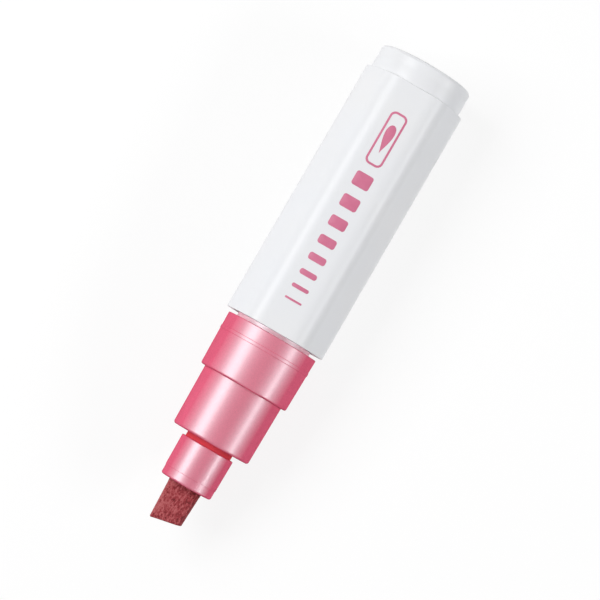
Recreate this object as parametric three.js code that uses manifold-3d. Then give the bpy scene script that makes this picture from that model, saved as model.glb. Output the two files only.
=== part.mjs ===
// A valve-action paint marker without its cap, lying on one flat of its six-sided barrel.
// Millimetres. X runs along the marker, with the nib towards -X and the tail towards +X. Z is up.
// Pressing the nib in pushes the valve stem off its seat, and paint runs from the barrel to the nib.

import * as THREE from 'three';
import { mergeVertices } from 'three/addons/utils/BufferGeometryUtils.js';
import Module from 'manifold-3d';

const wasm = await Module();
wasm.setup();

// Lengths seen from outside, from the tail to the nib
const stubLength = 5.95;
const barrelLength = 64.25;
const neckLength = 0.7;
const collarLength = 13.55;
const capSeatLength = 15;
const noseGap = 1.1;
const noseLength = 10.4;
const nibReach = 9.7; // on the nib's long side

// Barrel: a hexagon with large rounded corners outside, round inside
const acrossFlats = 23.3;
const cornerRound = 5.8;
const barrelWall = 1.75; // where a flat is thinnest
const rimRound = 0.55;

// Tail plug: the round stub and the hollow spigot behind it
const stubInset = 0.1; // how far the stub lies inside the flats
const tailRound = 1.1;
const tailGrooveAt = 2.5; // from the tail's end to the middle of the groove
const tailGrooveWidth = 1.3;
const tailGrooveDepth = 0.1;
const tailWall = 1.8;
const plugDepth = 8;
const plugWall = 1.7;

// Spigots in the barrel
const spigotPlay = 0.25;
const ribPlay = 0.08;
const ribWidth = 0.7;
const ribPitch = 2.6;
const spigotLead = 0.5;
const spigotLength = 9;

// Front body: collar, cap seat and the tube that holds the nose
const collarInset = 0.25; // how far the collar lies inside the flats
const collarTaper = 0.27; // on the radius
const collarRound = 0.5;
const beadAt = 3.4; // from the collar's rear face
const beadWidth = 1.1;
const beadHeight = 0.1;
const capSeatStep = 1.16;
const capSeatTaper = 0.22;
const capSeatRound = 0.55;
const neckInset = 0.45; // of the neck in the gap behind the collar, under the bore
const shellWall = 1.35;
const frontWall = 1.5;
const tubeWall = 1.1;

// Nose: the plug that is pressed into the front body, and the sleeve round the nib
const nosePlugLength = 8.5;
const noseWall = 1.34; // at the corners of the nib's slot
const noseStep = 0.71;
const noseTaper = 0.09;
const noseRingLength = 2.5;
const noseRingStep = 0.1;
const noseRound = 0.5;
const nosePlay = 0.1;
const snapAt = 6.4; // from the front face to the middle of the snap ring
const snapWidth = 1.2;
const snapHeight = 0.25;

// Nib: a bar of felt with an oblique end
const nibWidth = 8.25;
const nibThickness = 5;
const nibCorner = 1.4;
const nibTaper = 0.91; // size at the tip over size at the nose
const nibSlant = THREE.MathUtils.degToRad(11.2);
const nibPlay = 0.2;
const nibStroke = 2.2;

// Nib carrier
const socketDepth = 3;
const carrierFloor = 1.2;
const carrierBoss = 0.6;
const bossRadius = 2;
const carrierPlay = 0.25;
const feedRadius = 0.8;
const feedGap = 0.2; // between the boss and a feed hole
const grooveRadius = 1.5;
const strokeRoom = 0.3; // left behind the boss when the nib is fully in

// Valve
const portWall = 1.5;
const portRadius = 2.2;
const seatThickness = 1.4;
const seatPlay = 0.05; // round the seat ring in its chamber
const housingInset = 0.2; // how far the housing lies inside the tube's outside
const rodRadius = 1.4;
const headRadius = 3.6;
const headThickness = 1.4;
const pilotPlay = 0.25; // between the spring and the boss that centres it
const pilotLength = 1.2;
const rodTail = 2; // behind the retainer
const chamberWall = 1.6;
const guideLength = 3;
const guidePlay = 0.1;
const flangeThickness = 1.2;
const retainerThickness = 1.5;
const retainerLedge = 0.5;
const retainerPlay = 0.05;
const retainerHoles = 5;
const retainerHoleRadius = 0.9;
const rodPlay = 0.2;
const springLength = 11;
const springTurns = 7;
const springRadius = 2.85; // to the middle of the wire
const wireRadius = 0.35;
const touch = 0.05; // left between faces that meet across a joint

const ballRadius = 4;
const ballPlay = 0.1;

// Faces on round and bent surfaces
const roundSegments = 36;
const smallSegments = 24;
const ballRings = 14;
const arcSteps = 3;
const springSteps = 10;
const springSides = 6;

// Radii that follow from the sizes above
const flatHeight = acrossFlats / 2;
const boreRadius = flatHeight - barrelWall;
const spigotRadius = boreRadius - spigotPlay;
const ribRadius = boreRadius - ribPlay;
const stubRadius = flatHeight - stubInset;
const collarRadius = flatHeight - collarInset;
const collarFrontRadius = collarRadius - collarTaper;
const capSeatRadius = collarFrontRadius - capSeatStep;
const capSeatFrontRadius = capSeatRadius - capSeatTaper;
const valveBoreRadius = capSeatFrontRadius - shellWall;
const slotCorner = nibCorner + nibPlay;
const slotReach = Math.hypot(nibWidth / 2 - nibCorner, nibThickness / 2 - nibCorner) + slotCorner;
const nosePlugRadius = slotReach + noseWall;
const noseRadius = nosePlugRadius + noseStep;
const holeRadius = nosePlugRadius + nosePlay;
const tubeRadius = holeRadius + tubeWall;
const chamberRadius = tubeRadius - chamberWall;
const recessRadius = chamberRadius + retainerLedge;
const housingRadius = tubeRadius - housingInset;

// Stations along X
const totalLength = stubLength + barrelLength + neckLength + collarLength
  + capSeatLength + noseGap + noseLength + nibReach;
const barrelRearX = totalLength / 2 - stubLength;
const barrelFrontX = barrelRearX - barrelLength;
const frontFaceX = barrelFrontX - neckLength - collarLength - capSeatLength;

// Depths behind the front body's front face
const carrierLength = socketDepth + carrierFloor + carrierBoss;
const portFront = nosePlugLength + touch + carrierLength + nibStroke + strokeRoom;
const portRear = portFront + portWall;
const collarFront = capSeatLength;
const collarRear = collarFront + collarLength;
const barrelFront = collarRear + neckLength;
const spigotRear = barrelFront + spigotLength;
const seatRear = portRear + seatThickness;
const housingLength = spigotRear - portFront;

// Cyclic swaps of the axes: a lathe's Y axis or an extrusion's Z axis becomes X
const latheToX = new THREE.Matrix4().set(0, 1, 0, 0, 0, 0, 1, 0, 1, 0, 0, 0, 0, 0, 0, 1);
const extrusionToX = new THREE.Matrix4().set(0, 0, 1, 0, 1, 0, 0, 0, 0, 1, 0, 0, 0, 0, 0, 1);

const whitePlastic = new THREE.MeshStandardMaterial({ color: 0xe9ebef, roughness: 0.35 });
const pearlPink = new THREE.MeshStandardMaterial({ color: 0xd8668c, roughness: 0.3, metalness: 0.4 });
const felt = new THREE.MeshStandardMaterial({ color: 0xa5414f, roughness: 0.95 });
const naturalPlastic = new THREE.MeshStandardMaterial({ color: 0xe6e1d6, roughness: 0.5 });
const rubber = new THREE.MeshStandardMaterial({ color: 0x2c2c2e, roughness: 0.8 });
const steel = new THREE.MeshStandardMaterial({ color: 0xb9bdc1, roughness: 0.25, metalness: 1 });

// An outline from corners [x, radius, round]: a corner with a round becomes an arc
function outlineOf(corners) {
  return corners.flatMap(([x, radius, round], i) => {
    const here = new THREE.Vector2(x, radius);
    if (!round) return [here];
    const back = cornerAt(corners, i - 1).sub(here).normalize();
    const ahead = cornerAt(corners, i + 1).sub(here).normalize();
    const half = back.angleTo(ahead) / 2;
    const centre = back.clone().add(ahead).normalize().multiplyScalar(round / Math.sin(half)).add(here);
    const start = here.clone().addScaledVector(back, round / Math.tan(half)).sub(centre);
    const turn = Math.sign(ahead.cross(back)) * (Math.PI - 2 * half);
    return Array.from({ length: arcSteps + 1 }, (_, k) => (
      start.clone().rotateAround(new THREE.Vector2(), turn * k / arcSteps).add(centre)
    ));
  });
}

function cornerAt(corners, i) {
  const [x, radius] = corners.at(i % corners.length);
  return new THREE.Vector2(x, radius);
}

// A turned piece. Its outline runs from -X to +X outside and back inside,
// and either starts and ends on the axis or closes on itself.
function turned(corners, segments = roundSegments) {
  const points = outlineOf(corners).map((p) => new THREE.Vector2(p.y, p.x));
  if (corners[0][1] > 0) points.push(points[0].clone());
  return new THREE.LatheGeometry(points, segments).applyMatrix4(latheToX);
}

// A raised or sunk ring on a turned outline, as four corners from its front to its rear
function ring(middle, width, base, height) {
  const front = middle - width / 2;
  const rear = middle + width / 2;
  const slope = Math.abs(height);
  return [[front, base], [front + slope, base + height], [rear - slope, base + height], [rear, base]];
}

// A prism along X from x = 0
function prism(shape, length) {
  const options = { depth: length, bevelEnabled: false, curveSegments: arcSteps };
  return new THREE.ExtrudeGeometry(shape, options).applyMatrix4(extrusionToX);
}

function rodCutter(radius, length, y, z) {
  const corners = [[0, 0], [0, radius], [length, radius], [length, 0]];
  return turned(corners, smallSegments).translate(0, y, z);
}

function roundedRectangle(width, height, corner) {
  const shape = new THREE.Shape();
  const x = width / 2 - corner;
  const y = height / 2 - corner;
  [[x, y], [-x, y], [-x, -y], [x, -y]].forEach(([cx, cy], quarter) => {
    const start = quarter * Math.PI / 2;
    shape.absarc(cx, cy, corner, start, start + Math.PI / 2, false);
  });
  return shape;
}

function solidOf(geometry) {
  const bare = geometry.clone();
  bare.deleteAttribute('normal');
  bare.deleteAttribute('uv');
  const merged = mergeVertices(bare);
  return new wasm.Manifold(new wasm.Mesh({
    numProp: 3,
    vertProperties: new Float32Array(merged.attributes.position.array),
    triVerts: new Uint32Array(merged.index.array),
  }));
}

function cut(geometry, ...cutters) {
  const solid = cutters.reduce((left, cutter) => left.subtract(solidOf(cutter)), solidOf(geometry));
  const { vertProperties, triVerts } = solid.getMesh();
  const result = new THREE.BufferGeometry();
  result.setAttribute('position', new THREE.BufferAttribute(vertProperties, 3));
  result.setIndex(new THREE.BufferAttribute(triVerts, 1));
  return result;
}

function piece(name, geometry, material, x = 0) {
  const mesh = new THREE.Mesh(geometry, material);
  mesh.name = name;
  mesh.position.x = x;
  return mesh;
}

// From its front rim at x = 0
function makeBarrel() {
  const outside = new THREE.Shape();
  const bore = new THREE.Path();
  const toCorner = flatHeight / Math.cos(Math.PI / 6) - cornerRound / Math.cos(Math.PI / 6);
  for (let k = 0; k < 6; k += 1) {
    const middle = k * Math.PI / 3;
    const from = middle - Math.PI / 6;
    const to = middle + Math.PI / 6;
    outside.absarc(toCorner * Math.cos(middle), toCorner * Math.sin(middle), cornerRound, from, to, false);
    bore.absarc(0, 0, boreRadius, from, to, false);
  }
  outside.holes.push(bore);
  const options = {
    depth: barrelLength - 2 * rimRound,
    bevelThickness: rimRound,
    bevelSize: rimRound,
    bevelOffset: -rimRound,
    bevelSegments: arcSteps,
    curveSegments: arcSteps,
  };
  return new THREE.ExtrudeGeometry(outside, options).translate(0, 0, rimRound).applyMatrix4(extrusionToX);
}

// From the shoulder that rests on the barrel's rear rim
function makeTailPlug() {
  const inside = spigotRadius - plugWall;
  return turned([
    [stubLength - tailWall, 0],
    [stubLength - tailWall, inside, tailRound],
    [-plugDepth, inside],
    [-plugDepth, spigotRadius - spigotLead],
    [-plugDepth + spigotLead, spigotRadius],
    ...sealingRibs(-plugDepth),
    [0, spigotRadius],
    [0, stubRadius],
    ...ring(stubLength - tailGrooveAt, tailGrooveWidth, stubRadius, -tailGrooveDepth),
    [stubLength, stubRadius, tailRound],
    [stubLength, 0],
  ]);
}

// Two ribs that seal a spigot in the barrel
function sealingRibs(from) {
  return [1, 2].flatMap((k) => ring(from + k * ribPitch, ribWidth, spigotRadius, ribRadius - spigotRadius));
}

// From the front face
function makeFrontBody() {
  const beadMiddle = collarRear - beadAt - beadWidth / 2;
  const beadBase = collarRadius - collarTaper * (collarRear - beadMiddle) / collarLength;
  return turned([
    [0, holeRadius],
    [0, capSeatFrontRadius, capSeatRound],
    [collarFront, capSeatRadius],
    [collarFront, collarFrontRadius, collarRound],
    ...ring(beadMiddle, beadWidth, beadBase, beadHeight),
    [collarRear, collarRadius, rimRound / 2],
    [collarRear, boreRadius - neckInset],
    [barrelFront + rimRound, boreRadius - neckInset],
    [barrelFront + rimRound + neckInset, spigotRadius],
    ...sealingRibs(barrelFront + ribWidth),
    [spigotRear - spigotLead, spigotRadius],
    [spigotRear, spigotRadius - spigotLead],
    [spigotRear, valveBoreRadius],
    [frontWall, valveBoreRadius],
    [frontWall, tubeRadius],
    [portFront, tubeRadius],
    [portFront, holeRadius],
    ...ring(snapAt, snapWidth, holeRadius, snapHeight).reverse(),
  ]);
}

// From the shoulder behind the visible sleeve: the sleeve runs to -X and the plug to +X
function makeNose() {
  const plugEnd = noseGap + nosePlugLength;
  const ringX = noseRingLength - noseLength;
  const frontRadius = noseRadius - noseTaper;
  const sleeve = turned([
    [-noseLength, 0],
    [-noseLength, frontRadius - noseRingStep, noseRound],
    [ringX, frontRadius - noseRingStep],
    [ringX, frontRadius],
    [0, noseRadius, noseRound / 2],
    [0, nosePlugRadius],
    ...ring(noseGap + snapAt, snapWidth - 2 * nosePlay, nosePlugRadius, snapHeight),
    [plugEnd, nosePlugRadius, noseRound],
    [plugEnd, 0],
  ]);
  const slot = roundedRectangle(nibWidth + 2 * nibPlay, nibThickness + 2 * nibPlay, slotCorner);
  const margin = 1;
  return cut(sleeve, prism(slot, noseLength + plugEnd + 2 * margin).translate(-noseLength - margin, 0, 0));
}

// From the nose's mouth: the oblique tip is towards -X and the straight shank towards +X
function makeNib() {
  const shank = noseLength + noseGap + nosePlugLength + socketDepth;
  const shape = roundedRectangle(nibWidth, nibThickness, nibCorner);
  const section = mergedLoop(shape.getPoints(arcSteps));
  const farEdge = nibTaper * nibWidth / 2;
  const rings = [
    section.map((p) => {
      const y = p.x * nibTaper;
      return [(farEdge - y) * Math.tan(nibSlant) - nibReach, y, p.y * nibTaper];
    }),
    section.map((p) => [0, p.x, p.y]),
    section.map((p) => [shank, p.x, p.y]),
  ];
  return loft(rings);
}

// A closed loop of points without repeats
function mergedLoop(points) {
  return points.filter((p, i) => p.distanceTo(points.at(i - 1)) > 1e-6);
}

// A solid through convex rings of as many points each, in order along +X
function loft(rings) {
  const count = rings[0].length;
  const indices = [];
  for (let k = 1; k < count - 1; k += 1) {
    const last = (rings.length - 1) * count;
    indices.push(0, k + 1, k, last, last + k, last + k + 1);
  }
  for (let row = 0; row < rings.length - 1; row += 1) {
    for (let k = 0; k < count; k += 1) {
      const a = row * count + k;
      const b = row * count + (k + 1) % count;
      indices.push(a, b, a + count, b, b + count, a + count);
    }
  }
  const geometry = new THREE.BufferGeometry();
  geometry.setAttribute('position', new THREE.Float32BufferAttribute(rings.flat(2), 3));
  geometry.setIndex(indices);
  return geometry;
}

// From its front rim: a cup for the nib's end, with a boss that pushes the valve stem
function makeNibCarrier() {
  const radius = holeRadius - carrierPlay;
  const cup = turned([
    [0, 0],
    [0, radius],
    [socketDepth + carrierFloor, radius, carrierBoss],
    [socketDepth + carrierFloor, bossRadius],
    [carrierLength, bossRadius],
    [carrierLength, 0],
  ]);
  const feedAt = bossRadius + feedGap + feedRadius;
  const margin = 1;
  const socket = roundedRectangle(nibWidth + 2 * touch, nibThickness + 2 * touch, nibCorner + touch);
  const cutters = [prism(socket, socketDepth + margin).translate(-margin, 0, 0)];
  for (const side of [-1, 1]) {
    const length = carrierLength + 2 * margin;
    cutters.push(rodCutter(feedRadius, length, side * feedAt, 0).translate(-margin, 0, 0));
    cutters.push(rodCutter(grooveRadius, length, 0, side * radius).translate(-margin, 0, 0));
  }
  return cut(cup, ...cutters);
}

// From its front face
function makeValveSeat() {
  const radius = chamberRadius - seatPlay;
  return turned([
    [0, portRadius],
    [0, radius],
    [seatThickness, radius],
    [seatThickness, portRadius, seatThickness / 4],
  ]);
}

// From the sealing face of the head: the push rod runs to -X, the guided tail to +X
function makeValveStem() {
  const reach = seatThickness + portWall + strokeRoom + nibStroke - touch;
  const cone = seatThickness / 2;
  const pilotEnd = headThickness + pilotLength;
  const tail = headThickness + springLength + retainerThickness + rodTail;
  return turned([
    [-reach, 0],
    [-reach, rodRadius, rodRadius / 4],
    [-cone, rodRadius],
    [0, portRadius - touch],
    [0, headRadius],
    [headThickness, headRadius, headThickness / 4],
    [headThickness, springRadius - wireRadius - pilotPlay],
    [pilotEnd, springRadius - wireRadius - pilotPlay],
    [pilotEnd, rodRadius],
    [tail, rodRadius, rodRadius / 4],
    [tail, 0],
  ], smallSegments);
}

// The middle line of the spring's wire, from its front end to its rear end
class SpringLine extends THREE.Curve {
  getPoint(t, target = new THREE.Vector3()) {
    const angle = 2 * Math.PI * springTurns * t;
    const x = wireRadius + (springLength - 2 * (wireRadius + touch)) * t + touch;
    return target.set(x, springRadius * Math.cos(angle), springRadius * Math.sin(angle));
  }
}

// From the head's rear face
function makeValveSpring() {
  const section = new THREE.Shape(Array.from({ length: springSides }, (_, k) => {
    const angle = 2 * Math.PI * k / springSides;
    return new THREE.Vector2(wireRadius * Math.cos(angle), wireRadius * Math.sin(angle));
  }));
  const line = new SpringLine();
  const options = { steps: springTurns * springSteps, extrudePath: line, curveSegments: 1 };
  const turnGap = line.getPoint(0).distanceTo(line.getPoint(1 / springTurns)) - 2 * wireRadius;
  console.log(`valve_spring: least gap between its turns ${turnGap.toFixed(2)} mm`);
  return new THREE.ExtrudeGeometry(section, options);
}

// A cup, from its front face, which rests on the tube's end and has the port through it
function makeValveHousing() {
  const guideRadius = valveBoreRadius - guidePlay;
  const retainerX = portWall + seatThickness + touch + headThickness + springLength;
  const end = housingLength + flangeThickness;
  return turned([
    [0, portRadius],
    [0, housingRadius],
    [housingLength - guideLength, housingRadius],
    [housingLength - guideLength, guideRadius],
    [housingLength, guideRadius],
    [housingLength, spigotRadius - spigotLead],
    [end, spigotRadius - spigotLead, flangeThickness / 4],
    [end, recessRadius],
    [retainerX, recessRadius],
    [retainerX, chamberRadius],
    [portWall, chamberRadius],
    [portWall, portRadius],
  ]);
}

// From its front face: the spring pushes on it, the stem slides in it and paint runs through it
function makeSpringRetainer() {
  const hub = rodRadius + rodPlay;
  const radius = recessRadius - retainerPlay;
  const disc = turned([[0, hub], [0, radius], [retainerThickness, radius], [retainerThickness, hub]]);
  const margin = 1;
  const holeCircle = (springRadius + wireRadius + radius) / 2;
  const cutters = Array.from({ length: retainerHoles }, (_, k) => {
    const angle = 2 * Math.PI * k / retainerHoles;
    const y = holeCircle * Math.cos(angle);
    const z = holeCircle * Math.sin(angle);
    return rodCutter(retainerHoleRadius, retainerThickness + 2 * margin, y, z).translate(-margin, 0, 0);
  });
  return cut(disc, ...cutters);
}

function makeTank() {
  const tank = new THREE.Group();
  const ball = piece('mixing_ball', new THREE.SphereGeometry(ballRadius, smallSegments, ballRings), steel);
  const ballX = barrelRearX - plugDepth - ballPlay - ballRadius;
  ball.position.set(ballX, 0, ballRadius + ballPlay - boreRadius);
  tank.add(
    piece('barrel', makeBarrel(), whitePlastic, barrelFrontX),
    piece('tail_plug', makeTailPlug(), whitePlastic, barrelRearX),
    ball,
  );
  return tank;
}

// The valve unit, placed from the rear face of the seat ring
function makeValve() {
  const valve = new THREE.Group();
  valve.add(
    piece('valve_seat', makeValveSeat(), rubber, -seatThickness),
    piece('valve_stem', makeValveStem(), naturalPlastic, touch),
    piece('valve_spring', makeValveSpring(), steel, touch + headThickness),
    piece('valve_housing', makeValveHousing(), naturalPlastic, -seatThickness - portWall),
    piece('spring_retainer', makeSpringRetainer(), naturalPlastic, touch + headThickness + springLength),
  );
  valve.position.x = seatRear;
  return valve;
}

// Everything that the front body carries, placed from its front face
function makeFrontEnd() {
  const front = new THREE.Group();
  front.add(
    piece('front_body', makeFrontBody(), pearlPink),
    piece('nose', makeNose(), pearlPink, -noseGap),
    piece('nib', makeNib(), felt, -noseGap - noseLength),
    piece('nib_carrier', makeNibCarrier(), naturalPlastic, nosePlugLength + touch),
    makeValve(),
  );
  front.position.x = frontFaceX;
  return front;
}

const marker = new THREE.Group();
marker.add(makeTank(), makeFrontEnd());
marker.position.z = flatHeight;

export default marker;
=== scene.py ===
import math

import bpy
import numpy as np
from mathutils import Matrix, Vector


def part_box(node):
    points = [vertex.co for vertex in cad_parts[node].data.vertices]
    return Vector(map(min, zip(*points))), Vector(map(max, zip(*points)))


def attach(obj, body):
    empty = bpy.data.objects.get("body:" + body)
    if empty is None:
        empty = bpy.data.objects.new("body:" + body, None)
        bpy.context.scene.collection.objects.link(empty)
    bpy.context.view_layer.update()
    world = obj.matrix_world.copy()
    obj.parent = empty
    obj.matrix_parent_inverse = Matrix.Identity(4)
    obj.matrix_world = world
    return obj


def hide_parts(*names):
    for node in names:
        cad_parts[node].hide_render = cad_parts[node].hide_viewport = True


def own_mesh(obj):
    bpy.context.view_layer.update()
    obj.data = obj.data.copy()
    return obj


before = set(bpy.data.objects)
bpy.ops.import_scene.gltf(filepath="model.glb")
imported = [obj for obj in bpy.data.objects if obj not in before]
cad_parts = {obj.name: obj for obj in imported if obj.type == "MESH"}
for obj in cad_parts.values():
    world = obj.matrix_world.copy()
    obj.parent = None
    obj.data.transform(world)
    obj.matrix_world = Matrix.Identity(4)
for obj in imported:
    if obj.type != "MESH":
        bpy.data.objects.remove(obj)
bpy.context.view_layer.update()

# Shapes are worked out in millimetres, in the frame's own axes: X along the marker with the nib towards -X,
# Z up, and the marker lying on one flat of its barrel. They become metres when they are put into a mesh.
mm = 0.001


def boxOf(node):
    low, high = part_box(node)
    return np.array(low) / mm, np.array(high) / mm


barrelLow, barrelHigh = boxOf("barrel")
axisHeight = (barrelLow[2] + barrelHigh[2]) / 2
flatHeight = (barrelHigh[2] - barrelLow[2]) / 2
barrelFront, barrelRear = barrelLow[0], barrelHigh[0]
frontLow, frontHigh = boxOf("front_body")
noseLow, noseHigh = boxOf("nose")
nibLow, nibHigh = boxOf("nib")

# Meshes


# A skin over rings of points, an array of (ring, place round the ring, xyz). Four neighbours make a face,
# turned so that outwards is the way round the ring crossed with the way to the next ring. Without poles
# the last ring joins the first; with two poles each end closes in a fan.
def skinOf(rings, poles=None):
    count, around = rings.shape[:2]
    index = np.arange(count * around).reshape(count, around)
    here = index if poles is None else index[:-1]
    ahead = np.roll(index, -1, axis=0) if poles is None else index[1:]
    quads = np.stack([here, np.roll(here, -1, 1), np.roll(ahead, -1, 1), ahead], -1).reshape(-1, 4)
    points = rings.reshape(-1, 3)
    fans = np.zeros((0, 3), int)
    if poles is not None:
        first, last = index[0], index[-1]
        start = np.full(around, len(points))
        fans = np.concatenate([
            np.stack([start, np.roll(first, -1), first], -1),
            np.stack([last, np.roll(last, -1), start + 1], -1),
        ])
        points = np.concatenate([points, np.array(poles, float)])
    return points, quads, fans


# One mesh object from several skins. Edges sharper than the crease angle stay sharp in the shading.
def pieceOf(name, *skins, crease=32):
    points, faces, shift = [], [], 0
    for skinPoints, quads, fans in skins:
        points.append(skinPoints)
        faces += (quads + shift).tolist() + (fans + shift).tolist()
        shift += len(skinPoints)
    mesh = bpy.data.meshes.new(name)
    mesh.from_pydata((np.concatenate(points) * mm).tolist(), [], faces)
    mesh.shade_smooth()
    mesh.set_sharp_from_angle(angle=math.radians(crease))
    mesh.update()
    piece = bpy.data.objects.new(name, mesh)
    bpy.context.scene.collection.objects.link(piece)
    return piece


# An outline (x, radius) from corners (x, radius, round). A corner with a round becomes an arc about a centre
# on the corner's bisector, round / sin(half the corner) away, and a point just beside each end of the arc
# keeps its shading off the straight wall.
def outlineOf(corners, arcSteps=10, besideArc=0.06):
    points = []
    for i, (x, radius, *bend) in enumerate(corners):
        here = np.array([x, radius], float)
        if not bend:
            points.append(here[None])
            continue
        back = np.array(corners[i - 1][:2]) - here
        ahead = np.array(corners[(i + 1) % len(corners)][:2]) - here
        room = min(np.linalg.norm(back), np.linalg.norm(ahead))
        back, ahead = back / np.linalg.norm(back), ahead / np.linalg.norm(ahead)
        half = math.acos(float(np.clip(back @ ahead, -1, 1))) / 2
        reach = bend[0] / math.tan(half)
        middle = (back + ahead) / np.linalg.norm(back + ahead)
        centre = here + middle * bend[0] / math.sin(half)
        start = here + back * reach - centre
        side = np.sign(ahead[0] * back[1] - ahead[1] * back[0])
        angle = side * (math.pi - 2 * half) * np.linspace(0, 1, arcSteps + 1)
        arc = centre + np.stack([
            start[0] * np.cos(angle) - start[1] * np.sin(angle),
            start[0] * np.sin(angle) + start[1] * np.cos(angle),
        ], -1)
        beside = min(besideArc, 0.2 * max(room - reach, 0))
        points += [arc[:1] + back * beside, arc, arc[-1:] + ahead * beside]
    return np.concatenate(points)


# Rings about the marker's axis: at each outline point (x, radius) the ring is (x, radius cos turn,
# radius sin turn). The radius may be one number a ring, or one for each place round it.
def ringsAbout(along, radius, turn):
    radius = np.broadcast_to(np.reshape(radius, (len(along), -1)), (len(along), len(turn)))
    return np.stack([
        np.broadcast_to(along[:, None], radius.shape),
        radius * np.cos(turn),
        radius * np.sin(turn) + axisHeight,
    ], -1)


def turnsOf(segments):
    return np.linspace(0, 2 * math.pi, segments, endpoint=False)


# A turned piece. Its outline runs towards +X outside and back inside, and either closes on itself
# or starts and ends on the axis.
def turnedSkin(corners, segments=144, arcSteps=10, startX=0.0):
    outline = outlineOf([(x + startX, *rest) for x, *rest in corners], arcSteps)
    if corners[0][1] > 0:
        return skinOf(ringsAbout(outline[:, 0], outline[:, 1], turnsOf(segments)))
    rings = ringsAbout(outline[1:-1, 0], outline[1:-1, 1], turnsOf(segments))
    return skinOf(rings, [(outline[0, 0], 0, axisHeight), (outline[-1, 0], 0, axisHeight)])


# A raised or sunk ring on a turned outline, as four corners from its front to its rear
def ringOn(middle, width, base, height, slope=None):
    slope = slope or abs(height)
    front, rear = middle - width / 2, middle + width / 2
    return [(front, base), (front + slope, base + height), (rear - slope, base + height), (rear, base)]


# A rounded rectangle as (points, outward normals), evenly spaced along its length from the middle of its
# +x side. It is the path of a circle's rim whose centre jumps between the four inner corners.
def roundedLoop(width, height, corner, count):
    quarterDegrees = 4 * 360 + 1
    turn = np.linspace(0, 2 * math.pi, quarterDegrees)
    normal = np.stack([np.cos(turn), np.sin(turn)], -1)
    side = np.sign(np.round(normal, 9))
    path = side * [width / 2 - corner, height / 2 - corner] + corner * normal
    run = np.concatenate([[0], np.cumsum(np.linalg.norm(np.diff(path, axis=0), axis=1))])
    at = np.linspace(0, run[-1], count, endpoint=False)
    points = np.stack([np.interp(at, run, path[:, k]) for k in (0, 1)], -1)
    facing = np.interp(at, run, turn)
    return points, np.stack([np.cos(facing), np.sin(facing)], -1)


# Smooth random hills: random heights on the crossings of a grid, eased between them, and repeating past
# the grid's edges
def hills(u, v, cells, seed):
    heights = np.random.default_rng(seed).random(cells)
    column, row = np.floor(u).astype(int), np.floor(v).astype(int)
    easeU, easeV = (part * part * (3 - 2 * part) for part in (u - column, v - row))
    a, b = column % cells[0], (column + 1) % cells[0]
    c, d = row % cells[1], (row + 1) % cells[1]
    low = heights[a, c] * (1 - easeU) + heights[b, c] * easeU
    high = heights[a, d] * (1 - easeU) + heights[b, d] * easeU
    return low * (1 - easeV) + high * easeV


def eased(value, low, high):
    share = np.clip((value - low) / (high - low), 0, 1)
    return share * share * (3 - 2 * share)


# Materials


# A node with its sockets filled: a socket given as a value is linked, anything else is set on it
def nodeIn(tree, kind, sockets=None, **settings):
    node = tree.nodes.new(kind)
    for name, value in settings.items():
        setattr(node, name, value)
    for name, value in (sockets or {}).items():
        if isinstance(value, bpy.types.NodeSocket):
            tree.links.new(value, node.inputs[name])
        else:
            node.inputs[name].default_value = value
    return node


def newMaterial(name):
    material = bpy.data.materials.new(name)
    material.use_nodes = True
    tree = material.node_tree
    tree.nodes.clear()
    return material, tree, nodeIn(tree, "ShaderNodeTexCoord").outputs["Object"]


def finishMaterial(tree, sockets):
    shader = nodeIn(tree, "ShaderNodeBsdfPrincipled", sockets)
    nodeIn(tree, "ShaderNodeOutputMaterial", {"Surface": shader.outputs["BSDF"]})


def noiseIn(tree, coords, size, stretch=None, detail=2.0, roughness=0.5):
    if stretch:
        coords = nodeIn(tree, "ShaderNodeMapping", {"Vector": coords, "Scale": stretch}).outputs[0]
    sockets = {"Vector": coords, "Scale": 1 / (size * mm), "Detail": detail, "Roughness": roughness}
    return nodeIn(tree, "ShaderNodeTexNoise", sockets).outputs[0]


def rangeIn(tree, value, fromLow, fromHigh, toLow, toHigh):
    sockets = {0: value, 1: fromLow, 2: fromHigh, 3: toLow, 4: toHigh}
    return nodeIn(tree, "ShaderNodeMapRange", sockets).outputs[0]


def colourMixIn(tree, share, first, second):
    sockets = {0: share, 6: first, 7: second}
    return nodeIn(tree, "ShaderNodeMix", sockets, data_type="RGBA").outputs[2]


def bumpIn(tree, height, strength, depth, normal=None):
    sockets = {"Height": height, "Strength": strength, "Distance": depth * mm}
    if normal:
        sockets["Normal"] = normal
    return nodeIn(tree, "ShaderNodeBump", sockets).outputs[0]


def sumIn(tree, first, second):
    return nodeIn(tree, "ShaderNodeMath", {0: first, 1: second}, operation="ADD").outputs[0]


def productIn(tree, first, second):
    return nodeIn(tree, "ShaderNodeMath", {0: first, 1: second}, operation="MULTIPLY").outputs[0]


def alongIn(tree, coords, axis):
    return nodeIn(tree, "ShaderNodeSeparateXYZ", {0: coords}).outputs[axis]


whiteFinish = {
    "colour": (0.715, 0.725, 0.748, 1),
    "warmPatch": (0.725, 0.73, 0.743, 1),
    "roughness": (0.33, 0.38),
    "patch": 14,  # size in mm, like the grain's and the rubs'
    "patchStrength": 0.12,
    "grain": 0.35,
    "grainStrength": 0.05,
    "rub": 0.5,
}


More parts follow.
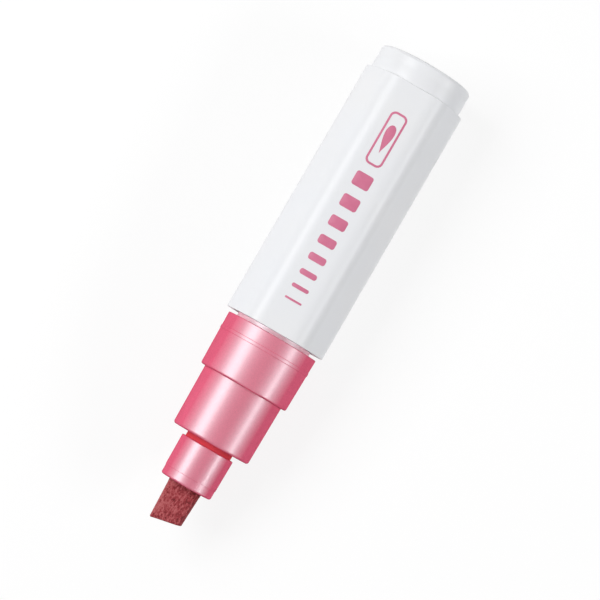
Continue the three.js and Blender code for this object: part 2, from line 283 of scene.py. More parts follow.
# Satin moulded plastic: slow patches of tone, a fine moulding grain, and faint rub marks along the barrel
def makeWhitePlastic(name, finish):
    material, tree, coords = newMaterial(name)
    patches = noiseIn(tree, coords, finish["patch"], detail=1)
    grain = noiseIn(tree, coords, finish["grain"], detail=3)
    rubs = noiseIn(tree, coords, finish["rub"], stretch=(0.03, 1, 1), detail=4, roughness=0.7)
    share = rangeIn(tree, patches, 0.3, 0.7, 0, 1)
    rough = rangeIn(tree, rubs, 0.35, 0.7, *finish["roughness"])
    bump = bumpIn(tree, grain, finish["grainStrength"], 0.05)
    bump = bumpIn(tree, patches, finish["patchStrength"], 0.6, bump)
    finishMaterial(tree, {
        "Base Color": colourMixIn(tree, share, finish["colour"], finish["warmPatch"]),
        "Roughness": rough, "Normal": bump, "IOR": 1.49, "Specular IOR Level": 0.3,
    })
    return material


pearlFinish = {
    "deep": (0.577, 0.093, 0.160, 1),
    "light": (0.724, 0.125, 0.212, 1),
    "flake": 0.19,  # size in mm
    "roughness": (0.48, 0.51),
    "gloss": (0.15, 0.41, 0.54),  # facing where it is full, facing where it is gone, and how strong it is
    "glossTint": (0.735, 0.97, 1.0, 1),
    "varnish": (0.0, 0.465, 0.755),  # the same three for the clear coat
    "varnishRoughness": 0.26,
    "swirl": 5,  # size in mm
    "paintedShadingEdge": 0.1,  # mm over which the painted shading band's colour comes in
}


# Pink plastic full of pearl flakes, which lie flat in it: each flake is a cell with its own brightness and
# a slight tilt, and the white gloss is full where the surface faces the eye and fades towards its rim.
# A band of the piece, over a range of x in mm, has another colour and its own share of the gloss: painted
# shading that stands in for the light or shade in a narrow groove there.
def makePearlPink(name, finish, paintedShadingBand):
    material, tree, coords = newMaterial(name)
    sockets = {"Vector": coords, "Scale": 1 / (finish["flake"] * mm)}
    flakes = nodeIn(tree, "ShaderNodeTexVoronoi", sockets).outputs["Color"]
    shine = nodeIn(tree, "ShaderNodeSeparateColor", {0: flakes})
    swirl = noiseIn(tree, coords, finish["swirl"], stretch=(0.4, 1, 1), detail=3)
    mixed = sumIn(tree, shine.outputs[0], swirl)
    plain = colourMixIn(tree, rangeIn(tree, mixed, 0.1, 1.9, 0, 1), finish["deep"], finish["light"])
    along = alongIn(tree, coords, 0)
    paintedShadingStart, paintedShadingEnd, edge = paintedShadingBand["from"] * mm, paintedShadingBand["to"] * mm, finish["paintedShadingEdge"] * mm
    start = rangeIn(tree, along, paintedShadingStart, paintedShadingStart + edge, 0, 1)
    end = rangeIn(tree, along, paintedShadingEnd - edge, paintedShadingEnd, 1, 0)
    inside = productIn(tree, start, end)
    kept = rangeIn(tree, inside, 0, 1, 1, paintedShadingBand["gloss"])
    facing = nodeIn(tree, "ShaderNodeLayerWeight", {"Blend": 0.5}).outputs["Facing"]

    def fading(low, high, strength):
        return productIn(tree, rangeIn(tree, facing, low, high, strength, 0), kept)

    # Inside the band the base colour is the band's painted shading colour, and the gloss is scaled by the
    # band's own share
    finishMaterial(tree, {
        "Base Color": colourMixIn(tree, inside, plain, paintedShadingBand["colour"]),
        "Roughness": rangeIn(tree, shine.outputs[1], 0, 1, *finish["roughness"]),
        "Normal": bumpIn(tree, shine.outputs[2], 0.035, 0.02),
        "IOR": 2.5, "Specular IOR Level": fading(*finish["gloss"]), "Specular Tint": finish["glossTint"],
        "Coat Weight": fading(*finish["varnish"]), "Coat Roughness": finish["varnishRoughness"],
    })
    return material


feltFinish = {
    "pit": (0.105, 0.008, 0.010, 1),
    "body": (0.255, 0.023, 0.030, 1),
    "fibre": (0.42, 0.096, 0.102, 1),
    "paintedSideLight": 0.17,  # painted light: how much paler the felt is made towards the nib's +Y long side, which faces the left lamp, and darker towards -Y
    "halfWidth": 4,  # mm, how far from the middle that is
    "strand": 0.24,  # size in mm
    "wetPatch": 2.5,
}


# Paint-soaked felt: dark in the pits and pale on the proud fibres, by the pile height kept on the mesh, and
# with painted light: paler on the side towards +Y
def makeFelt(name, finish):
    material, tree, coords = newMaterial(name)
    pile = nodeIn(tree, "ShaderNodeAttribute", attribute_name="pile").outputs["Fac"]
    strands = noiseIn(tree, coords, finish["strand"], stretch=(0.45, 1, 1), detail=5, roughness=0.75)
    wet = noiseIn(tree, coords, finish["wetPatch"], detail=2)
    # Painted light: the felt is made paler towards +Y, the side that the left lamp lights, and darker towards
    # -Y
    side = finish["halfWidth"] * mm
    paintedSideRamp = rangeIn(tree, alongIn(tree, coords, 1), -side, side, -0.7 * finish["paintedSideLight"], finish["paintedSideLight"])
    height = sumIn(tree, sumIn(tree, pile, strands), paintedSideRamp)
    low = colourMixIn(tree, rangeIn(tree, height, 0.6, 0.92, 0, 1), finish["pit"], finish["body"])
    colour = colourMixIn(tree, rangeIn(tree, height, 0.92, 1.3, 0, 1), low, finish["fibre"])
    finishMaterial(tree, {
        "Base Color": colour, "Roughness": rangeIn(tree, wet, 0.3, 0.7, 0.62, 0.9),
        "Normal": bumpIn(tree, strands, 0.6, 0.09),
        "Specular IOR Level": 0.3,
        "Sheen Weight": 0.12, "Sheen Roughness": 0.5, "Sheen Tint": (1, 0.6, 0.62, 1),
    })
    return material


# Plain moulded plastic, rubber or metal: one colour with cloudy tone, a grain and uneven gloss
def makePlain(name, colour, second, roughness, grain, **sockets):
    material, tree, coords = newMaterial(name)
    cloud = noiseIn(tree, coords, 3.5, detail=3)
    grains = noiseIn(tree, coords, grain, detail=3)
    finishMaterial(tree, {
        "Base Color": colourMixIn(tree, rangeIn(tree, cloud, 0.3, 0.7, 0, 1), colour, second),
        "Roughness": rangeIn(tree, grains, 0.3, 0.7, *roughness),
        "Normal": bumpIn(tree, grains, 0.08, 0.03),
        **{key.replace("_", " "): value for key, value in sockets.items()},
    })
    return material


whitePlastic = makeWhitePlastic("white_plastic_satin", whiteFinish)
# The neck behind the barrel's rim is painted pale pink with full gloss: painted light that brightens the
# shaded gap between barrel and collar
pearlPink = makePearlPink("pearl_pink_plastic", pearlFinish, {
    "from": barrelFront - 0.84, "to": barrelFront + 0.4, "colour": (1.0, 0.66, 0.74, 1), "gloss": 1.0})
# The nose's neck in front of the front body is painted a deeper red with no gloss: painted shade for the
# groove there
pearlPinkNose = makePearlPink("pearl_pink_nose", pearlFinish, {
    "from": -40.3, "to": -38.8, "colour": (0.70, 0.068, 0.090, 1), "gloss": 0.0})
feltMaterial = makeFelt("paint_soaked_felt", feltFinish)
naturalPlastic = makePlain(
    "natural_plastic", (0.74, 0.71, 0.63, 1), (0.80, 0.775, 0.70, 1), (0.38, 0.5), 0.3,
    Subsurface_Weight=0.15, Subsurface_Scale=0.001)
rubberMaterial = makePlain(
    "black_rubber", (0.028, 0.028, 0.03, 1), (0.04, 0.04, 0.042, 1), (0.6, 0.78), 0.15)
steelMaterial = makePlain(
    "bright_steel", (0.52, 0.53, 0.54, 1), (0.6, 0.6, 0.6, 1), (0.14, 0.26), 0.2, Metallic=1.0)
inkMaterial = makePlain(
    "pink_ink", (0.545, 0.140, 0.238, 1), (0.585, 0.168, 0.272, 1), (0.38, 0.5), 0.25)
print("paint marker: materials made")


def dress(piece, material, body, node=None):
    piece.data.materials.append(material)
    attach(piece, body)
    if node:
        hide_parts(node)


# Barrel

barrelShape = {
    "wall": 1.75,  # where a flat is thinnest
    "cornerRound": 5.8,
    "rimInset": 0.12,  # how far the rim stops short of the solid's end, which opens the gap under it
    "rimRound": 0.2,
    "rearRound": 0.14,
    "mouthRound": 0.25,
    "around": 360,
}
boreRadius = flatHeight - barrelShape["wall"]


# Distance from the axis to the skin of the six-sided barrel, drawn in by an inset. In each sixth, with the
# turn measured from its corner, it is the flat's height / cos(30 degrees - turn), or near the corner the far
# side of the corner's circle: centre cos turn + root(radius squared - (centre sin turn) squared).
def hexagonRadius(turn, inset, shape):
    centre = (flatHeight - shape["cornerRound"]) / math.cos(math.pi / 6)
    sixth = math.pi / 3
    local = np.abs((turn + sixth / 2) % sixth - sixth / 2)
    corner = shape["cornerRound"] - inset
    flat = (flatHeight - inset) / np.cos(math.pi / 6 - local)
    arc = centre * np.cos(local) + np.sqrt(np.maximum(corner ** 2 - (centre * np.sin(local)) ** 2, 0))
    meets = np.arctan2(corner * math.sin(math.pi / 6), centre + corner * math.cos(math.pi / 6))
    return np.where(local < meets, arc, flat)


# The outside is an outline of insets from the skin instead of radii. The first and last corners of both
# outlines only give their neighbours' rounds a direction.
def makeBarrel(shape):
    turn = turnsOf(shape["around"])
    front, rear = shape["rimRound"], shape["rearRound"]
    start = barrelFront + shape["rimInset"]
    aside = 1
    walls = outlineOf([(start, -aside), (start, 0, front), (barrelRear, 0, rear), (barrelRear, -aside)])[1:-1]
    outside = ringsAbout(walls[:, 0], hexagonRadius(turn[None], -walls[:, 1:], shape), turn)
    mouth = shape["mouthRound"]
    inside = outlineOf([
        (start, boreRadius + aside), (barrelRear, boreRadius + aside),
        (barrelRear, boreRadius, mouth), (start, boreRadius, mouth),
    ])[2:]
    bore = ringsAbout(inside[:, 0], inside[:, 1], turn)
    return pieceOf("barrel_shell", skinOf(np.concatenate([outside, bore])))


dress(makeBarrel(barrelShape), whitePlastic, "case", "barrel")

# Spigots with two sealing ribs, which the tail plug and the front body press into the barrel

spigotShape = {
    "play": 0.25,
    "ribPlay": 0.08,
    "ribPitch": 2.6,
    "ribWidth": 0.7,
    "lead": 0.5,
}
spigotRadius = boreRadius - spigotShape["play"]


def sealingRibs(startX):
    height = spigotShape["play"] - spigotShape["ribPlay"]
    middles = [startX + k * spigotShape["ribPitch"] for k in (1, 2)]
    return [corner for x in middles for corner in ringOn(x, spigotShape["ribWidth"], spigotRadius, height)]


# Tail plug

plugShape = {
    "stubLength": 5.95,
    "stubInset": 0.1,
    "tailRound": 0.9,
    "grooveAt": 2.5,
    "grooveWidth": 1.7,
    "grooveDepth": 0.05,
    "grooveSlope": 0.3,
    "dishRadius": 8.2,
    "dishDepth": 0.4,
    "dishRound": 0.25,
    "gateRadius": 0.9,  # the mark of the moulding's gate in the middle of the end
    "gateHeight": 0.18,
    "gateRound": 0.06,
    "wall": 1.8,
    "depth": 8.0,
    "spigotWall": 1.7,
}


def makeTailPlug(shape):
    stub = flatHeight - shape["stubInset"]
    inside = spigotRadius - shape["spigotWall"]
    length, depth, lead = shape["stubLength"], shape["depth"], spigotShape["lead"]
    dish, dishRound, floor = shape["dishRadius"], shape["dishRound"], length - shape["dishDepth"]
    gate, gateRound, gateTop = shape["gateRadius"], shape["gateRound"], floor + shape["gateHeight"]
    return pieceOf("tail_plug_body", turnedSkin([
        (length - shape["wall"], 0),
        (length - shape["wall"], inside, shape["tailRound"]),
        (-depth, inside, 0.3),
        (-depth, spigotRadius - lead),
        (-depth + lead, spigotRadius),
        *sealingRibs(-depth),
        (0, spigotRadius),
        (0, stub, 0.1),
        *ringOn(length - shape["grooveAt"], shape["grooveWidth"], stub, -shape["grooveDepth"],
                shape["grooveSlope"]),
        (length, stub, shape["tailRound"]),
        (length, dish, dishRound),
        (floor, dish - shape["dishDepth"], dishRound),
        (floor, gate, gateRound),
        (gateTop, gate - 0.1, gateRound),
        (gateTop, 0),
    ], segments=192, arcSteps=12, startX=barrelRear))


dress(makeTailPlug(plugShape), whitePlastic, "case", "tail_plug")

# Front body

# The front body is turned round the plug that the nose presses into it, and the nose round the nib's slot
plugFit = {
    "slot": (8.65, 5.4, 1.6),  # width, height and corner
    "noseWall": 1.34,  # at the corners of the slot
    "play": 0.1,
    "snapAt": 6.4,  # from the front body's end to the middle of the ring that snaps into a groove
    "snapHeight": 0.25,
}
slotWidth, slotHeight, slotCorner = plugFit["slot"]
slotReach = math.hypot(slotWidth / 2 - slotCorner, slotHeight / 2 - slotCorner) + slotCorner
nosePlugRadius = slotReach + plugFit["noseWall"]
holeRadius = nosePlugRadius + plugFit["play"]

frontShape = {
    "neckLength": 0.82,
    "neckInset": 0.45,
    "neckRun": 0.55,  # how far the neck runs on in the barrel before it widens
    "collarLength": 13.43,
    "collarInset": 0.19,
    "collarTaper": 0.27,
    "collarRound": 0.5,
    "rearRound": 0.2,
    "beadAt": 3.28,
    "beadWidth": 0.9,
    "beadHeight": 0.1,
    "seatLength": 15.0,
    "seatStep": 1.16,
    "seatTaper": 0.22,
    "seatRound": 0.62,
    "seatInset": 0.1,  # how far the seat's end stops short of the solid's
    "shellWall": 1.35,
    "frontWall": 1.5,
    "tubeWall": 1.1,
    "snapWidth": 1.2,
}


def makeFrontBody(shape):
    seat = shape["seatLength"]
    collarRear = seat + shape["collarLength"]
    barrelMouth = collarRear + shape["neckLength"]
    collar = flatHeight - shape["collarInset"]
    collarFront = collar - shape["collarTaper"]
    seatRadius = collarFront - shape["seatStep"]
    seatFront = seatRadius - shape["seatTaper"]
    shellRadius = seatFront - shape["shellWall"]
    tube = holeRadius + shape["tubeWall"]
    neck, neckEnd = boreRadius - shape["neckInset"], barrelMouth + shape["neckRun"]
    lead = spigotShape["lead"]
    beadMiddle = collarRear - shape["beadAt"] - shape["beadWidth"] / 2
    beadBase = collar - shape["collarTaper"] * (collarRear - beadMiddle) / shape["collarLength"]
    end = frontHigh[0] - frontLow[0]
    tubeEnd = boxOf("valve_housing")[0][0] - frontLow[0]
    return pieceOf("front_body_shell", turnedSkin([
        (shape["seatInset"], holeRadius, 0.15),
        (shape["seatInset"], seatFront, shape["seatRound"]),
        (seat, seatRadius, 0.12),
        (seat, collarFront, shape["collarRound"]),
        *ringOn(beadMiddle, shape["beadWidth"], beadBase, shape["beadHeight"]),
        (collarRear, collar, shape["rearRound"]),
        (collarRear, neck, 0.1),
        (neckEnd, neck),
        (neckEnd + shape["neckInset"], spigotRadius),
        *sealingRibs(barrelMouth + spigotShape["ribWidth"]),
        (end - lead, spigotRadius),
        (end, spigotRadius - lead),
        (end, shellRadius, 0.2),
        (shape["frontWall"], shellRadius, 0.6),
        (shape["frontWall"], tube, 0.3),
        (tubeEnd, tube, 0.1),
        (tubeEnd, holeRadius, 0.2),
        *ringOn(plugFit["snapAt"], shape["snapWidth"], holeRadius, plugFit["snapHeight"])[::-1],
    ], segments=192, startX=frontLow[0]))


dress(makeFrontBody(frontShape), pearlPink, "case", "front_body")

# Nose

noseShape = {
    "length": 10.4,
    "gap": 1.1,
    "step": 0.77,
    "taper": 0.09,
    "ringLength": 2.5,
    "ringStep": 0.1,
    "endRound": 0.5,
    "mouthRound": 0.2,
    "mouthInset": 0.25,  # how far the mouth stops short of the solid's
    "snapWidth": 1.0,
    "around": 192,
}


# The nose is turned outside, and inside it is the rounded slot of the nib. Each turned ring takes its places
# round from the slot's own points, so the two join in even faces at the mouth and at the plug's end.
# The outline's first and last corners only give their neighbours' rounds a direction.
def makeNose(shape):
    slot, outwards = roundedLoop(*plugFit["slot"], shape["around"])
    turn = np.arctan2(slot[:, 1], slot[:, 0])
    radius = nosePlugRadius + shape["step"]
    front = radius - shape["taper"]
    mouth = noseLow[0] + shape["mouthInset"]
    ringX = noseLow[0] + shape["ringLength"]
    shoulder = noseLow[0] + shape["length"]
    bend = shape["mouthRound"]
    walls = outlineOf([
        (mouth, slotReach),
        (mouth, front - shape["ringStep"], shape["endRound"]),
        (ringX, front - shape["ringStep"]),
        (ringX, front, 0.08),
        (shoulder, radius, 0.25),
        (shoulder, nosePlugRadius, 0.1),
        *ringOn(shoulder + shape["gap"] + plugFit["snapAt"], shape["snapWidth"], nosePlugRadius,
                plugFit["snapHeight"]),
        (noseHigh[0], nosePlugRadius, 0.5),
        (noseHigh[0], slotReach),
    ])[1:-1]
    outside = ringsAbout(walls[:, 0], walls[:, 1], turn)
    quarter = np.linspace(0, math.pi / 2, 7)
    deep, slim = bend * (1 - np.cos(quarter)), bend * (1 - np.sin(quarter))
    along = np.concatenate([noseHigh[0] - deep, mouth + deep[::-1]])
    spread = np.concatenate([slim, slim[::-1]])
    flat = slot[None] + spread[:, None, None] * outwards[None]
    inside = np.concatenate([np.broadcast_to(along[:, None, None], (*flat.shape[:2], 1)), flat], -1)
    inside = inside + np.array([0, 0, axisHeight])
    return pieceOf("nose_sleeve", skinOf(np.concatenate([outside, inside])))


dress(makeNose(noseShape), pearlPinkNose, "case", "nose")
print("paint marker: barrel, plug, front body and nose made")

# Nib

nibShape = {
    "width": 8.25,
    "thickness": 5.0,
    "corner": 1.4,
    "tipScale": 0.91,
    "slant": math.radians(11.2),
    "edgeRound": 0.35,
    "around": 340,
    "endRings": 25,
    "edgeRings": 6,
    "sideRings": 130,
    "pitDepth": 0.07,
    "fibreDepth": 0.09,
    "endPitDepth": 0.12,
    "endGrainDepth": 0.07,
    "hills": [(1.5, 0.4, 0.35), (0.7, 0.27, 0.9), (0.34, 0.18, 1.0)],  # length, width and share of each kind
    "pitSize": (0.5, 0.42),  # length and width
    "endGrain": 0.22,
    "endPit": 0.6,
    "seed": 12,
}


# Height of the felt's pile from 0 to 1, with its pits: short hills along the nib in several sizes, which
# drift sideways
def pileOf(along, around, perimeter, shape):
    seed, cellsAlong, driftCells = shape["seed"], 64, (16, 14)
    drift = 3.0 * hills(along / 1.6, around / perimeter * driftCells[1], driftCells, seed)
    total, weights = np.zeros(np.broadcast(along, around).shape), 0
    for k, (length, width, weight) in enumerate(shape["hills"]):
        cells = int(perimeter / width)
        row = (around + drift * 0.2) / perimeter * cells
        total += weight * hills((along + 0.25 * drift) / length, row, (cellsAlong, cells), seed + 1 + k)
        weights += weight
    pitLength, pitWidth = shape["pitSize"]
    cells = int(perimeter / pitWidth)
    row = (around + drift * 0.3) / perimeter * cells
    pits = hills(along / pitLength, row, (cellsAlong, cells), seed + 9)
    return total / weights, eased(pits, 0.78, 1.0)


# The nib is a rounded bar whose section shrinks towards the tip, where an oblique plane cuts it:
# x = mouth - share (reach - (far edge - y) tan slant), with share 0 at the nose and 1 at the tip.
# The skin sinks along its normal where the pile is low, more so in the pits, and not at all inside the nose.
def makeNib(shape):
    loop, outwards = roundedLoop(shape["width"], shape["thickness"], shape["corner"], shape["around"])
    perimeter = np.linalg.norm(loop - np.roll(loop, 1, axis=0), axis=1).sum()
    place = np.arange(shape["around"]) / shape["around"] * perimeter
    reach = noseLow[0] - nibLow[0]
    edge = shape["edgeRound"]
    farEdge = shape["tipScale"] * shape["width"] / 2
    endRings, edgeRings, sideRings = shape["endRings"], shape["edgeRings"], shape["sideRings"]
    quarter = np.linspace(0, math.pi / 2, edgeRings + 1)[1:]
    shrink = np.sqrt(np.linspace(0, 1, endRings + 1)[1:-1])
    share = np.concatenate([np.ones(endRings + edgeRings), np.linspace(1 - edge / reach, 0, sideRings)])
    draw = np.concatenate([np.full(endRings, edge), edge * (1 - np.sin(quarter)), np.zeros(sideRings)])
    size = np.concatenate([shrink, np.ones(1 + edgeRings + sideRings)])
    setBack = np.concatenate([np.zeros(endRings), edge * (1 - np.cos(quarter)), np.zeros(sideRings)])
    scale = 1 - (1 - shape["tipScale"]) * share
    flat = (loop[None] * scale[:, None, None] - draw[:, None, None] * outwards[None]) * size[:, None, None]
    tipY = loop[None, :, 0] * shape["tipScale"] * size[:, None]
    x = noseLow[0] - share[:, None] * (reach - (farEdge - tipY) * math.tan(shape["slant"])) + setBack[:, None]

    along = x - nibLow[0]
    pile, pits = pileOf(along, place[None] + np.zeros_like(x), perimeter, shape)
    onSide = eased(along, 0.0, 0.5) * (share[:, None] < 1) * eased(reach - along, 0.05, 0.7)
    sunk = (shape["fibreDepth"] * (1 - pile) + shape["pitDepth"] * pits) * onSide
    flat = flat - sunk[..., None] * outwards[None]

    def endHills(size, cells, seed):
        middleCell = 40
        u, v = (flat[..., k] / size + middleCell for k in (0, 1))
        return hills(u, v, (cells, cells), seed)

    endGrain = endHills(shape["endGrain"], 97, shape["seed"] + 20)
    endPits = eased(endHills(shape["endPit"], 53, shape["seed"] + 21), 0.62, 0.9)
    onTip = (share[:, None] == 1) * (setBack[:, None] == 0)
    endSunk = shape["endGrainDepth"] * (1 - endGrain) + shape["endPitDepth"] * endPits
    x = x + onTip * endSunk * np.minimum(1, 3 * (1.02 - size[:, None]))
    pile = np.where(onTip > 0, endGrain - 0.5 * endPits, pile - 0.35 * pits)

    shankLength = nibHigh[0] - noseLow[0]
    shankAt = np.array([0.4, 1.0, 4.0, shankLength - 0.2, shankLength])
    shankScale = np.array([1, 1, 1, 1, 0.96])
    shank = loop[None] * shankScale[:, None, None]
    shankX = noseLow[0] + shankAt[:, None] + np.zeros(shape["around"])
    rings = np.concatenate([
        np.concatenate([x[..., None], flat], -1),
        np.concatenate([shankX[..., None], shank], -1),
    ]) + np.array([0, 0, axisHeight])
    poles = [rings[0].mean(axis=0), (nibHigh[0], 0, axisHeight)]
    nib = pieceOf("nib_felt", skinOf(rings, poles), crease=70)
    shankPile, _ = pileOf(shankX - nibLow[0], place[None] + np.zeros_like(shankX), perimeter, shape)
    heights = np.concatenate([pile.ravel(), shankPile.ravel(), [0.5, 0.5]])
    nib.data.attributes.new("pile", "FLOAT", "POINT").data.foreach_set("value", heights.astype(np.float32))
    return nib


dress(makeNib(nibShape), feltMaterial, "nib", "nib")
print("paint marker: nib made")

# Valve unit, mixing ball and the pieces that the frame's own solids show

valveShape = {
    "portWall": 1.5,
    "portRadius": 2.2,
    "seatPlay": 0.05,
    "housingInset": 0.2,
    "rodRadius": 1.4,
    "headRadius": 3.6,
    "headThickness": 1.4,
    "bossRadius": 2.25,  # of the boss that centres the spring behind the head
    "bossLength": 1.2,
    "chamberWall": 1.6,
    "ledge": 0.5,
    "guideLength": 3.0,
    "guidePlay": 0.1,
    "flange": 1.2,
    "springRadius": 2.85,
    "wireRadius": 0.35,
    "turns": 7,
    "endPace": 0.72,  # how fast the end coils advance, as a share of the others
    "endReach": (0.05, 0.16),  # shares of the wire from its end between which it gathers pace
    "stepsInTurn": 48,
    "wireSides": 14,
    "touch": 0.05,  # left between faces that meet across a joint
}


def makeValvePieces(shape):
    seatLow, seatHigh = boxOf("valve_seat")
    stemLow, stemHigh = boxOf("valve_stem")
    housingLow, housingHigh = boxOf("valve_housing")
    retainerLow, _ = boxOf("spring_retainer")
    tube = holeRadius + frontShape["tubeWall"]
    sleeve = tube - shape["housingInset"]
    chamber = tube - shape["chamberWall"]
    ring = chamber - shape["seatPlay"]
    port = shape["portRadius"]
    thickness = seatHigh[0] - seatLow[0]
    seat = turnedSkin([
        (0, port, 0.1), (0, ring, 0.1), (thickness, ring, 0.1), (thickness, port, thickness / 4),
    ], startX=seatLow[0])

    rod, head, boss, touch = shape["rodRadius"], shape["headRadius"], shape["bossRadius"], shape["touch"]
    headFront = seatHigh[0] + touch - stemLow[0]
    headRear = headFront + shape["headThickness"]
    bossEnd = headRear + shape["bossLength"]
    stemEnd = stemHigh[0] - stemLow[0]
    stem = turnedSkin([
        (0, 0), (0, rod, rod / 4), (headFront - thickness / 2, rod), (headFront, port - touch),
        (headFront, head, 0.1), (headRear, head, shape["headThickness"] / 4), (headRear, boss),
        (bossEnd, boss, 0.2), (bossEnd, rod, 0.2), (stemEnd, rod, rod / 4), (stemEnd, 0),
    ], segments=96, startX=stemLow[0])

    recess = chamber + shape["ledge"]
    collarFront = flatHeight - frontShape["collarInset"] - frontShape["collarTaper"]
    shell = collarFront - frontShape["seatStep"] - frontShape["seatTaper"] - frontShape["shellWall"]
    guide, flange = shell - shape["guidePlay"], spigotRadius - spigotShape["lead"]
    end, ledge = housingHigh[0] - housingLow[0], retainerLow[0] - housingLow[0]
    guideEnd = end - shape["flange"]
    guideStart = guideEnd - shape["guideLength"]
    housing = turnedSkin([
        (0, port, 0.15), (0, sleeve, 0.1), (guideStart, sleeve, 0.3), (guideStart, guide, 0.3),
        (guideEnd, guide), (guideEnd, flange, 0.15), (end, flange, shape["flange"] / 4), (end, recess, 0.2),
        (ledge, recess), (ledge, chamber, 0.1),
        (shape["portWall"], chamber, 0.3), (shape["portWall"], port, 0.15),
    ], startX=housingLow[0])

    for name, skin, material, body, node, slot in [
        ("valve_seat_ring", seat, rubberMaterial, "case", "valve_seat", "rubber"),
        ("valve_stem_rod", stem, naturalPlastic, "stem", "valve_stem", "natural_plastic"),
        ("valve_housing_sleeve", housing, naturalPlastic, "case", "valve_housing", "natural_plastic"),
    ]:
        dress(pieceOf(name, skin), material, body, node)


makeValvePieces(valveShape)


# The spring's wire is a circle carried along a helix, (x, radius cos angle, radius sin angle). The first and
# last turns advance more slowly than the others, so the end coils lie closer.
def makeSpring(shape):
    low, high = boxOf("valve_spring")
    wire = shape["wireRadius"]
    share = np.linspace(0, 1, shape["turns"] * shape["stepsInTurn"] + 1)
    angle = 2 * math.pi * shape["turns"] * share
    slow = shape["endPace"]
    pace = slow + (1 - slow) * eased(np.minimum(share, 1 - share), *shape["endReach"])
    run = np.concatenate([[0], np.cumsum((pace[1:] + pace[:-1]) / 2)])
    x = low[0] + wire + (high[0] - low[0] - 2 * wire) * run / run[-1]
    radial = np.stack([np.zeros_like(angle), np.cos(angle), np.sin(angle)], -1)
    path = shape["springRadius"] * radial + np.stack([x, np.zeros_like(x), np.full_like(x, axisHeight)], -1)
    along = np.gradient(path, axis=0)
    along /= np.linalg.norm(along, axis=1, keepdims=True)
    across = np.cross(along, radial)
    around = turnsOf(shape["wireSides"])[None, :, None]
    rings = path[:, None] + wire * (np.cos(around) * radial[:, None] + np.sin(around) * across[:, None])
    spring = pieceOf("valve_spring_wire", skinOf(rings, [path[0], path[-1]]))
    dress(spring, steelMaterial, "case", "valve_spring")
    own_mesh(spring)


makeSpring(valveShape)


# A ball as a half circle carried round a line through its middle, with both poles closed
def makeBall(rows=48, around=96):
    low, high = boxOf("mixing_ball")
    centre, radius = (low + high) / 2, (high[0] - low[0]) / 2
    tilt = np.linspace(0, math.pi, rows + 2)[1:-1, None]
    turn = turnsOf(around)
    rings = centre + radius * np.stack([
        np.broadcast_to(-np.cos(tilt), (rows, around)),
        np.sin(tilt) * np.cos(turn), np.sin(tilt) * np.sin(turn)], -1)
    poles = [centre - [radius, 0, 0], centre + [radius, 0, 0]]
    return pieceOf("mixing_ball_steel", skinOf(rings, poles))


dress(makeBall(), steelMaterial, "ball", "mixing_ball")

for nodeName in ("nib_carrier", "spring_retainer"):
    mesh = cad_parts[nodeName].data
    mesh.materials.clear()
    mesh.materials.append(naturalPlastic)
print("paint marker: valve unit and mixing ball made")

# Printed design on the barrel's top flat

printShape = {
    "width": 4.3,
    "film": 0.02,  # thickness of the ink
    "ladder": (-1.9, 31.4),  # where the row of bars runs along the barrel
    "thinnest": 0.5,
    "thickest": 3.5,
    "bars": 8,
    "barCorner": 0.6,
    "frame": (33.7, 47.2),  # where the framed drop sits
    "frameCorner": 1.4,
    "stroke": 0.5,
    "drop": (3.6, 1.65, 1.6),  # half its length, half its width before it narrows, and how fast it narrows
}


# A flat patch of ink from a loop of (x, y) points: its edge starts a film's depth inside the flat, and its
# top draws in a little. An inner loop makes it a frame.
def inkSkin(loop, middle, film, inner=None):
    top = barrelHigh[2] + film
    levels = [(barrelHigh[2] - film, 1.0), (top - film / 4, 1.0), (top, 0.995)]

    def ringsOf(points, order):
        return np.stack([
            np.concatenate([middle + (points - middle) * draw, np.full((len(points), 1), z)], -1)
            for z, draw in order])

    if inner is None:
        rings = ringsOf(loop, levels)
        return skinOf(rings, [(*middle, levels[0][0]), (*middle, top)])
    return skinOf(np.concatenate([ringsOf(loop, levels), ringsOf(inner, levels[::-1])]))


def makePrint(shape):
    low, high = shape["ladder"]
    thickness = np.linspace(shape["thickest"], shape["thinnest"], shape["bars"])
    gap = (high - low - thickness.sum()) / (shape["bars"] - 1)
    ends = high - np.cumsum(thickness + gap) + gap
    skins = []
    for rear, size in zip(ends, thickness):
        middle = np.array([rear + size / 2, 0])
        loop, _ = roundedLoop(size, shape["width"], min(shape["barCorner"], size / 2 * 0.98), 96)
        skins.append(inkSkin(loop + middle, middle, shape["film"]))
    front, rear = shape["frame"]
    middle = np.array([(front + rear) / 2, 0])
    outer, outwards = roundedLoop(rear - front, shape["width"], shape["frameCorner"], 192)
    skins.append(inkSkin(outer + middle, middle, shape["film"], outer - shape["stroke"] * outwards + middle))
    # a drop with its point to the front: x = -length cos angle, y = -width sin angle (sin half angle) ^ power
    length, width, power = shape["drop"]
    angle = turnsOf(160)
    narrowed = np.abs(np.sin(angle / 2)) ** power
    drop = np.stack([-length * np.cos(angle), -width * np.sin(angle) * narrowed], -1)
    skins.append(inkSkin(drop + middle, middle, shape["film"]))
    return pieceOf("print_design", *skins)


dress(makePrint(printShape), inkMaterial, "case")
print("paint marker: print made")

# Floor, light and camera

studio = {
    "floorSize": 8.0,  # metres
    "floorColour": (0.66, 0.66, 0.66, 1),
    "floorGlow": 0.8,  # how far the floor that the camera sees goes to plain white
    "floorWhite": 1.06,
    "skyLevel": 0.143,
    "whiteBelow": 0.2,  # sine of the height above the horizon up to which the backdrop is white
    "whiteFade": 0.1,
}
# Each light's name, its tilt from upright towards +Y and lean towards the tail in degrees, its distance,
# width and length in metres, and its radiance
strips = [
    ("strip_left", 42.85, 0, 0.62, 0.313, 0.5, 8.1),
    ("strip_right", -61, 0, 0.62, 0.11, 0.5, 13.25),
    ("card_top", 0, -3, 0.62, 0.3, 0.5, 0.2),
    ("card_tail", 0, 68, 0.62, 0.5, 0.3, 1.1),
]


